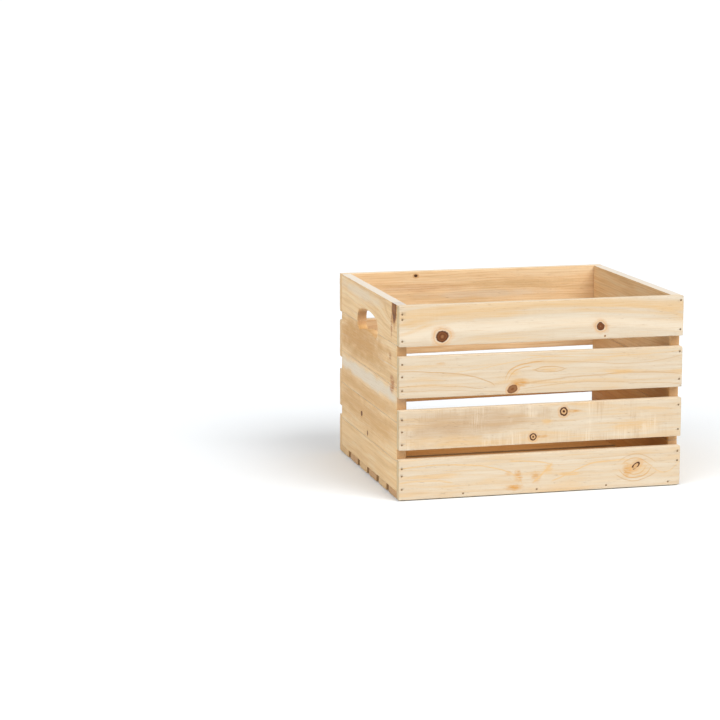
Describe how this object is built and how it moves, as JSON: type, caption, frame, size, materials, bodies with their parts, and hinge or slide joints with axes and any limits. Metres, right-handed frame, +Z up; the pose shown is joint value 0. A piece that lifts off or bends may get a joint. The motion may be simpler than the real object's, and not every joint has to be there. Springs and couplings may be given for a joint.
{
  "type": "apple crate",
  "caption": "Open slatted wooden apple crate with boarded ends, bent hand holes, spaced side slats and a slatted floor, nailed together.",
  "frame": {"origin": "on the ground, under the middle of the crate", "axes": "+X along the crate's length to the right end, +Y from the front slats to the back slats, +Z up"},
  "size_m": [0.366, 0.305, 0.24],
  "materials": {
    "side_slats": "sawn and lightly sanded pale softwood, unvarnished, with knots and growth-ring figure",
    "end_boards": "edge-glued softwood boards, unvarnished, a little darker and more golden than the slats",
    "floor_slats": "sawn pale softwood, unvarnished",
    "nail_steel": "dull dark steel, lightly oxidised"
  },
  "bodies": {
    "root": {"back_bottom_slat": "side_slats", "back_bottom_slat_nails": "nail_steel", "back_lower_slat": "side_slats", "back_lower_slat_nails": "nail_steel", "back_top_slat": "side_slats", "back_top_slat_nails": "nail_steel", "back_upper_slat": "side_slats", "back_upper_slat_nails": "nail_steel", "floor_slat_1": "floor_slats", "floor_slat_1_nails": "nail_steel", "floor_slat_2": "floor_slats", "floor_slat_2_nails": "nail_steel", "floor_slat_3": "floor_slats", "floor_slat_3_nails": "nail_steel", "floor_slat_4": "floor_slats", "floor_slat_4_nails": "nail_steel", "floor_slat_5": "floor_slats", "floor_slat_5_nails": "nail_steel", "floor_slat_6": "floor_slats", "floor_slat_6_nails": "nail_steel", "front_bottom_slat": "side_slats", "front_bottom_slat_nails": "nail_steel", "front_lower_slat": "side_slats", "front_lower_slat_nails": "nail_steel", "front_top_slat": "side_slats", "front_top_slat_nails": "nail_steel", "front_upper_slat": "side_slats", "front_upper_slat_nails": "nail_steel", "left_end_board_1": "end_boards", "left_end_board_2": "end_boards", "left_end_board_3": "end_boards", "left_end_board_4": "end_boards", "left_end_board_5": "end_boards", "right_end_board_1": "end_boards", "right_end_board_2": "end_boards", "right_end_board_3": "end_boards", "right_end_board_4": "end_boards", "right_end_board_5": "end_boards"}
  },
  "joints": []
}
